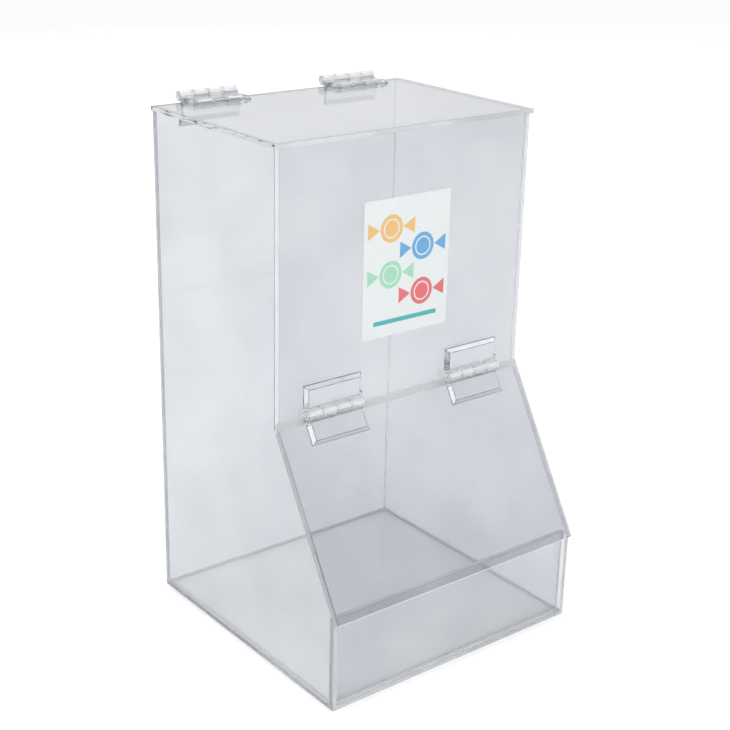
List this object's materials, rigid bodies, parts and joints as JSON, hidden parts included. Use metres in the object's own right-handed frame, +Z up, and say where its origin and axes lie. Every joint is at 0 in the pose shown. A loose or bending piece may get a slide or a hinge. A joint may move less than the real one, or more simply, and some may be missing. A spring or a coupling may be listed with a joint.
{
  "type": "candy display case",
  "caption": "Clear acrylic display case with an upright hopper, a flat hinged lid on top and a hinged sloping flap over a low front tray.",
  "frame": {"origin": "centre of the base's underside, on the table", "axes": "+Z up, -Y out of the front where the flap and the lip are, +X to the right of someone who faces the front"},
  "size_m": [0.206, 0.2101, 0.3537],
  "materials": {
    "clear_sheet": "clear polished acrylic sheet",
    "hinge_leaf": "clear moulded acrylic",
    "hinge_pin": "clear rod",
    "label": "coated white sticker"
  },
  "bodies": {
    "case": {"base_panel": "clear_sheet", "back_panel": "clear_sheet", "left_side_panel": "clear_sheet", "right_side_panel": "clear_sheet", "upper_front_panel": "clear_sheet", "front_lip": "clear_sheet", "front_label": "label", "lid_hinge_left_fixed_leaf": "hinge_leaf", "lid_hinge_left_pin": "hinge_pin", "lid_hinge_right_fixed_leaf": "hinge_leaf", "lid_hinge_right_pin": "hinge_pin", "flap_hinge_left_fixed_leaf": "hinge_leaf", "flap_hinge_left_pin": "hinge_pin", "flap_hinge_right_fixed_leaf": "hinge_leaf", "flap_hinge_right_pin": "hinge_pin"},
    "lid": {"top_lid": "clear_sheet", "lid_hinge_left_moving_leaf": "hinge_leaf", "lid_hinge_right_moving_leaf": "hinge_leaf"},
    "flap": {"dispensing_flap": "clear_sheet", "flap_hinge_left_moving_leaf": "hinge_leaf", "flap_hinge_right_moving_leaf": "hinge_leaf"}
  },
  "joints": [
    {"name": "lid_hinge", "type": "hinge", "parent": "case", "child": "lid", "pos_m": [0, 0.1035, 0.3505], "axis": [-1, 0, 0], "range_deg": [0, 260]},
    {"name": "flap_hinge", "type": "hinge", "parent": "case", "child": "flap", "pos_m": [0, -0.0405, 0.17431], "axis": [-1, 0, 0], "range_deg": [0, 145]}
  ]
}
